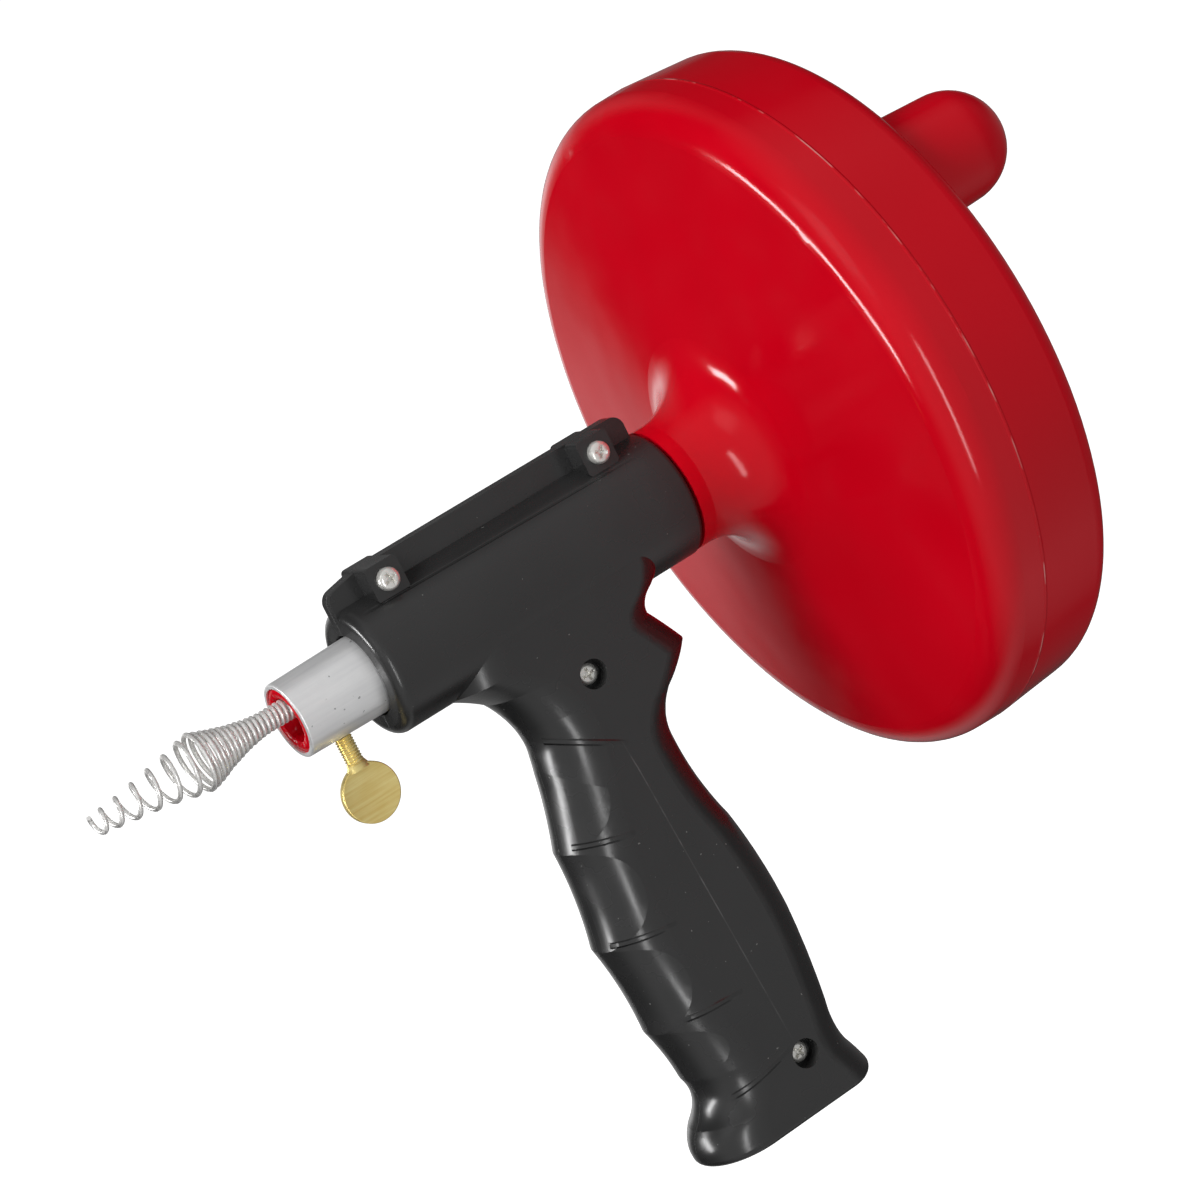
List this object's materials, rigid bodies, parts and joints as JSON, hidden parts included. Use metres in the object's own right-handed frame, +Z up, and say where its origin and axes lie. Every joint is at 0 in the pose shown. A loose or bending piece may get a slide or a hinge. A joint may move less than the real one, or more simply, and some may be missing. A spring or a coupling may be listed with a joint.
{
  "type": "drain snake",
  "caption": "Hand-cranked drain snake: pistol grip, round drum with a crank knob, and a wire snake with a flared auger tip that leaves through a sleeve with a thumb screw.",
  "frame": {"origin": "centre of the sleeve's mouth, on the drum's spin axis", "axes": "-X the way the snake leaves, +X to the drum and its crank knob, +Z up with the grip hanging down, Y = 0 the plane where the handle's shells part"},
  "size_m": [0.2874, 0.1968, 0.2616],
  "materials": {
    "handle_plastic": "semi-gloss charcoal",
    "drum_plastic": "glossy red",
    "sleeve_metal": "satin",
    "screw_steel": "bright plated",
    "brass": "brushed",
    "wire_steel": "bright"
  },
  "bodies": {
    "handle": {"handle_left_shell": "handle_plastic", "handle_right_shell": "handle_plastic", "flange_screw_front": "screw_steel", "flange_screw_rear": "screw_steel", "grip_screw_upper": "screw_steel", "grip_screw_lower": "screw_steel"},
    "drum": {"drum_front_shell": "drum_plastic", "drum_rear_shell": "drum_plastic", "front_sleeve": "sleeve_metal", "cable_coil": "wire_steel"},
    "thumb_shank": {"thumb_screw_shank": "brass"},
    "thumb_head": {"thumb_screw_head": "brass"},
    "snake": {"cable_lead": "wire_steel", "auger_bulb": "wire_steel", "auger_tail": "wire_steel"}
  },
  "joints": [
    {"name": "drum_spin", "type": "hinge", "parent": "handle", "child": "drum", "pos_m": [0, 0, 0], "axis": [1, 0, 0], "continuous": true},
    {"name": "thumb_screw_travel", "type": "slide", "parent": "drum", "child": "thumb_shank", "axis": [0, 0, -1], "range_m": [0, 0.0056]},
    {"name": "thumb_screw_turn", "type": "hinge", "parent": "thumb_shank", "child": "thumb_head", "pos_m": [0.011, 0, 0], "axis": [0, 0, -1], "range_deg": [0, 2520.5]},
    {"name": "cable_feed", "type": "slide", "parent": "drum", "child": "snake", "axis": [-1, 0, 0], "range_m": [-0.008, 0.1]}
  ],
  "couplings": [
    {"joint": "thumb_screw_turn", "follows": "thumb_screw_travel", "rad_per_m": 7854}
  ]
}
